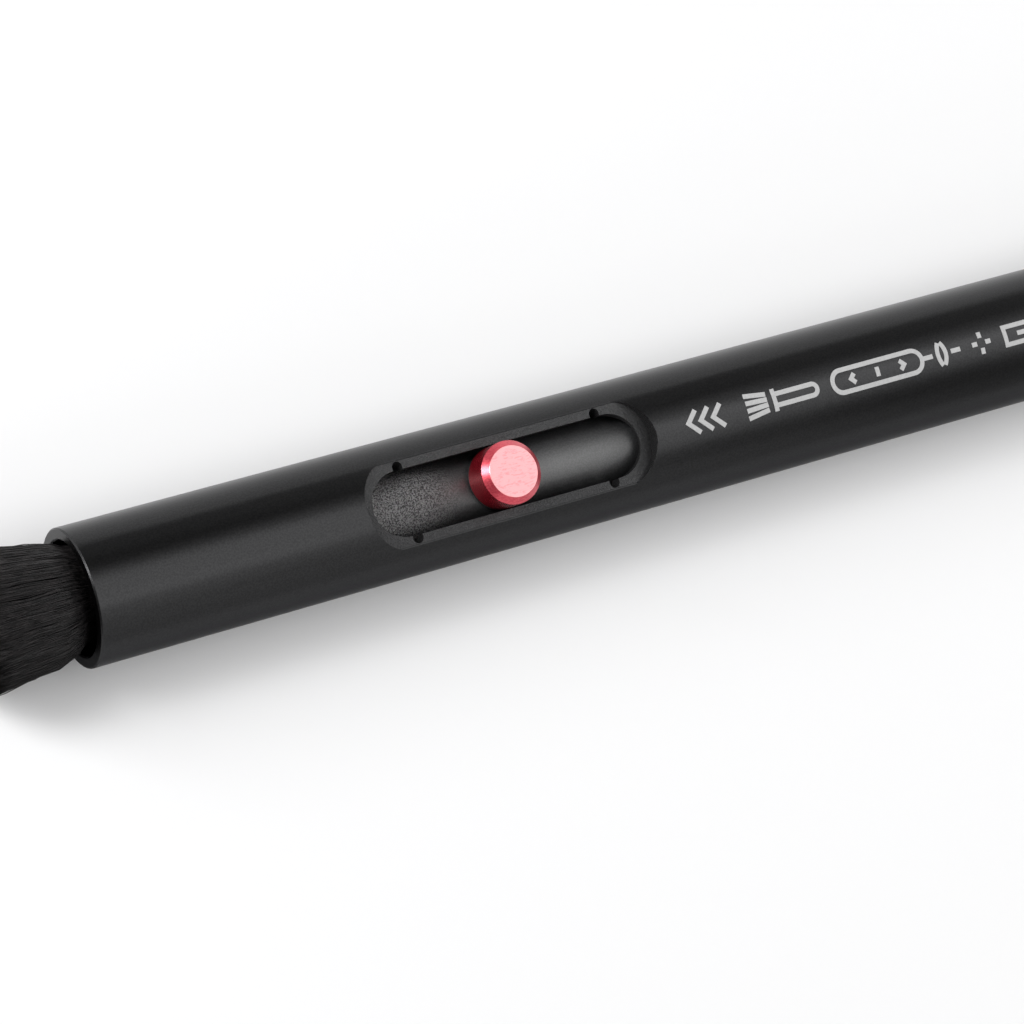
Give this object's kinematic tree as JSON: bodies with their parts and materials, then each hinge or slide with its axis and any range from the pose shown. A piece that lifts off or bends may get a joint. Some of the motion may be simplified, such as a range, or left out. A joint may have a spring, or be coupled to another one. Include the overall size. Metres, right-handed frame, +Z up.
{
  "type": "lens cleaning pen",
  "caption": "Slim metal lens cleaning pen with a slide-out bristle brush moved by a thumb button in a slot, and a twist-off cap over a cupped carbon cleaning tip.",
  "frame": {"origin": "on the surface the barrel lies on, below the middle of the pen's length and on its centre line", "axes": "+X along the pen from the brush towards the cap, +Z up through the thumb button"},
  "size_m": [0.1626, 0.014, 0.0155],
  "materials": {
    "black_anodised": "bead-blasted, matte black anodised",
    "red_anodised": "turned and bright red anodised",
    "black_moulded": "moulded with a coarse spark texture",
    "spring_steel": "stamped, bright",
    "plain_aluminium": "drawn and crimped",
    "potting_resin": "cast resin",
    "bristles": "fine soft black hair",
    "black_rubber": "matte",
    "stem_elastomer": "satin moulded",
    "carbon_suede": "carbon-loaded suede",
    "sponge": "open foam loaded with carbon"
  },
  "bodies": {
    "barrel_body": {"barrel": "black_anodised", "rear_insert": "black_moulded", "tip_stem": "stem_elastomer", "tip_cup": "black_rubber", "carbon_pad": "carbon_suede"},
    "carriage": {"brush_carriage": "black_moulded", "slide_button": "red_anodised", "detent_clip": "spring_steel", "brush_ferrule": "plain_aluminium", "bristle_plug": "potting_resin", "bristle_core": "bristles"},
    "tuft_1": {"bristle_tuft_1": "bristles"},
    "tuft_2": {"bristle_tuft_2": "bristles"},
    "tuft_3": {"bristle_tuft_3": "bristles"},
    "tuft_4": {"bristle_tuft_4": "bristles"},
    "tuft_5": {"bristle_tuft_5": "bristles"},
    "tuft_6": {"bristle_tuft_6": "bristles"},
    "tuft_7": {"bristle_tuft_7": "bristles"},
    "tuft_8": {"bristle_tuft_8": "bristles"},
    "tuft_9": {"bristle_tuft_9": "bristles"},
    "tuft_10": {"bristle_tuft_10": "bristles"},
    "tuft_11": {"bristle_tuft_11": "bristles"},
    "tuft_12": {"bristle_tuft_12": "bristles"},
    "neck_ring": {"neck_o_ring": "black_rubber"},
    "cap": {"cap_shell": "black_anodised", "cap_liner": "black_moulded", "cap_sponge": "sponge"}
  },
  "joints": [
    {"name": "brush_slide", "type": "slide", "parent": "barrel_body", "child": "carriage", "axis": [-1, 0, 0], "range_m": [-0.01203, 0.01067]},
    {"name": "tuft_lean_1", "type": "hinge", "parent": "carriage", "child": "tuft_1", "pos_m": [-0.05905, 0.0036, 0.007], "axis": [0, 0, -1], "range_deg": [-4.1, 3.6], "deforming": ["bristle_tuft_1"]},
    {"name": "tuft_lean_2", "type": "hinge", "parent": "carriage", "child": "tuft_2", "pos_m": [-0.05905, 0.00312, 0.0088], "axis": [0, 0.5, -0.866], "range_deg": [-4.1, 3.6], "deforming": ["bristle_tuft_2"]},
    {"name": "tuft_lean_3", "type": "hinge", "parent": "carriage", "child": "tuft_3", "pos_m": [-0.05905, 0.0018, 0.01012], "axis": [0, 0.866, -0.5], "range_deg": [-4.1, 3.6], "deforming": ["bristle_tuft_3"]},
    {"name": "tuft_lean_4", "type": "hinge", "parent": "carriage", "child": "tuft_4", "pos_m": [-0.05905, 0, 0.0106], "axis": [0, 1, 0], "range_deg": [-4.1, 3.6], "deforming": ["bristle_tuft_4"]},
    {"name": "tuft_lean_5", "type": "hinge", "parent": "carriage", "child": "tuft_5", "pos_m": [-0.05905, -0.0018, 0.01012], "axis": [0, 0.866, 0.5], "range_deg": [-4.1, 3.6], "deforming": ["bristle_tuft_5"]},
    {"name": "tuft_lean_6", "type": "hinge", "parent": "carriage", "child": "tuft_6", "pos_m": [-0.05905, -0.00312, 0.0088], "axis": [0, 0.5, 0.866], "range_deg": [-4.1, 3.6], "deforming": ["bristle_tuft_6"]},
    {"name": "tuft_lean_7", "type": "hinge", "parent": "carriage", "child": "tuft_7", "pos_m": [-0.05905, -0.0036, 0.007], "axis": [0, 0, 1], "range_deg": [-4.1, 3.6], "deforming": ["bristle_tuft_7"]},
    {"name": "tuft_lean_8", "type": "hinge", "parent": "carriage", "child": "tuft_8", "pos_m": [-0.05905, -0.00312, 0.0052], "axis": [0, -0.5, 0.866], "range_deg": [-4.1, 3.6], "deforming": ["bristle_tuft_8"]},
    {"name": "tuft_lean_9", "type": "hinge", "parent": "carriage", "child": "tuft_9", "pos_m": [-0.05905, -0.0018, 0.00388], "axis": [0, -0.866, 0.5], "range_deg": [-4.1, 3.6], "deforming": ["bristle_tuft_9"]},
    {"name": "tuft_lean_10", "type": "hinge", "parent": "carriage", "child": "tuft_10", "pos_m": [-0.05905, 0, 0.0034], "axis": [0, -1, 0], "range_deg": [-4.1, 3.6], "deforming": ["bristle_tuft_10"]},
    {"name": "tuft_lean_11", "type": "hinge", "parent": "carriage", "child": "tuft_11", "pos_m": [-0.05905, 0.0018, 0.00388], "axis": [0, -0.866, -0.5], "range_deg": [-4.1, 3.6], "deforming": ["bristle_tuft_11"]},
    {"name": "tuft_lean_12", "type": "hinge", "parent": "carriage", "child": "tuft_12", "pos_m": [-0.05905, 0.00312, 0.0052], "axis": [0, -0.5, -0.866], "range_deg": [-4.1, 3.6], "deforming": ["bristle_tuft_12"]},
    {"name": "cap_twist", "type": "hinge", "parent": "barrel_body", "child": "neck_ring", "pos_m": [0.05355, 0, 0.007], "axis": [1, 0, 0], "continuous": true},
    {"name": "cap_pull", "type": "slide", "parent": "neck_ring", "child": "cap", "axis": [1, 0, 0], "range_m": [0, 0.032]}
  ],
  "couplings": [
    {"joint": "tuft_lean_1", "follows": "brush_slide", "rad_per_m": 5.6},
    {"joint": "tuft_lean_2", "follows": "brush_slide", "rad_per_m": 5.6},
    {"joint": "tuft_lean_3", "follows": "brush_slide", "rad_per_m": 5.6},
    {"joint": "tuft_lean_4", "follows": "brush_slide", "rad_per_m": 5.6},
    {"joint": "tuft_lean_5", "follows": "brush_slide", "rad_per_m": 5.6},
    {"joint": "tuft_lean_6", "follows": "brush_slide", "rad_per_m": 5.6},
    {"joint": "tuft_lean_7", "follows": "brush_slide", "rad_per_m": 5.6},
    {"joint": "tuft_lean_8", "follows": "brush_slide", "rad_per_m": 5.6},
    {"joint": "tuft_lean_9", "follows": "brush_slide", "rad_per_m": 5.6},
    {"joint": "tuft_lean_10", "follows": "brush_slide", "rad_per_m": 5.6},
    {"joint": "tuft_lean_11", "follows": "brush_slide", "rad_per_m": 5.6},
    {"joint": "tuft_lean_12", "follows": "brush_slide", "rad_per_m": 5.6}
  ]
}
